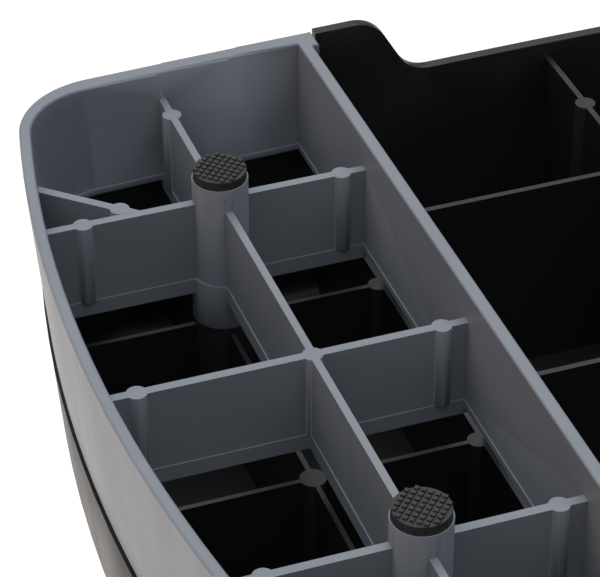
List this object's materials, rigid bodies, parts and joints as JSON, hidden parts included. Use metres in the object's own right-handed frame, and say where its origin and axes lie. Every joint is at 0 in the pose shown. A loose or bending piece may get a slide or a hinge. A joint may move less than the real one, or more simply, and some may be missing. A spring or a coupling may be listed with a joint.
{
  "type": "desktop riser",
  "caption": "Low moulded desktop riser lying upside down: a ribbed black shell with plug-in grey leg blocks at its ends and rubber feet on posts.",
  "frame": {"origin": "centre of the top panel's outer face, on which the riser lies upside down", "axes": "+X along the length, +Y across the depth, +Z from the top panel towards the rubber feet; in use the riser is turned over, so -Z is up"},
  "size_m": [0.4008, 0.239, 0.0807],
  "materials": {
    "black_plastic": "semi-gloss moulded black plastic",
    "grey_plastic": "satin moulded cool grey plastic",
    "foot_rubber": "black rubber with a raised diamond pattern"
  },
  "bodies": {
    "shell": {"top_shell": "black_plastic"},
    "left_block": {"left_end_block": "grey_plastic", "foot_left_front": "foot_rubber", "foot_left_back": "foot_rubber"},
    "right_block": {"right_end_block": "grey_plastic", "foot_right_front": "foot_rubber", "foot_right_back": "foot_rubber"}
  },
  "joints": [
    {"name": "left_block_lift", "type": "slide", "parent": "shell", "child": "left_block", "axis": [0, 0, 1], "range_m": [0, 0.06]},
    {"name": "right_block_lift", "type": "slide", "parent": "shell", "child": "right_block", "axis": [0, 0, 1], "range_m": [0, 0.06]}
  ]
}
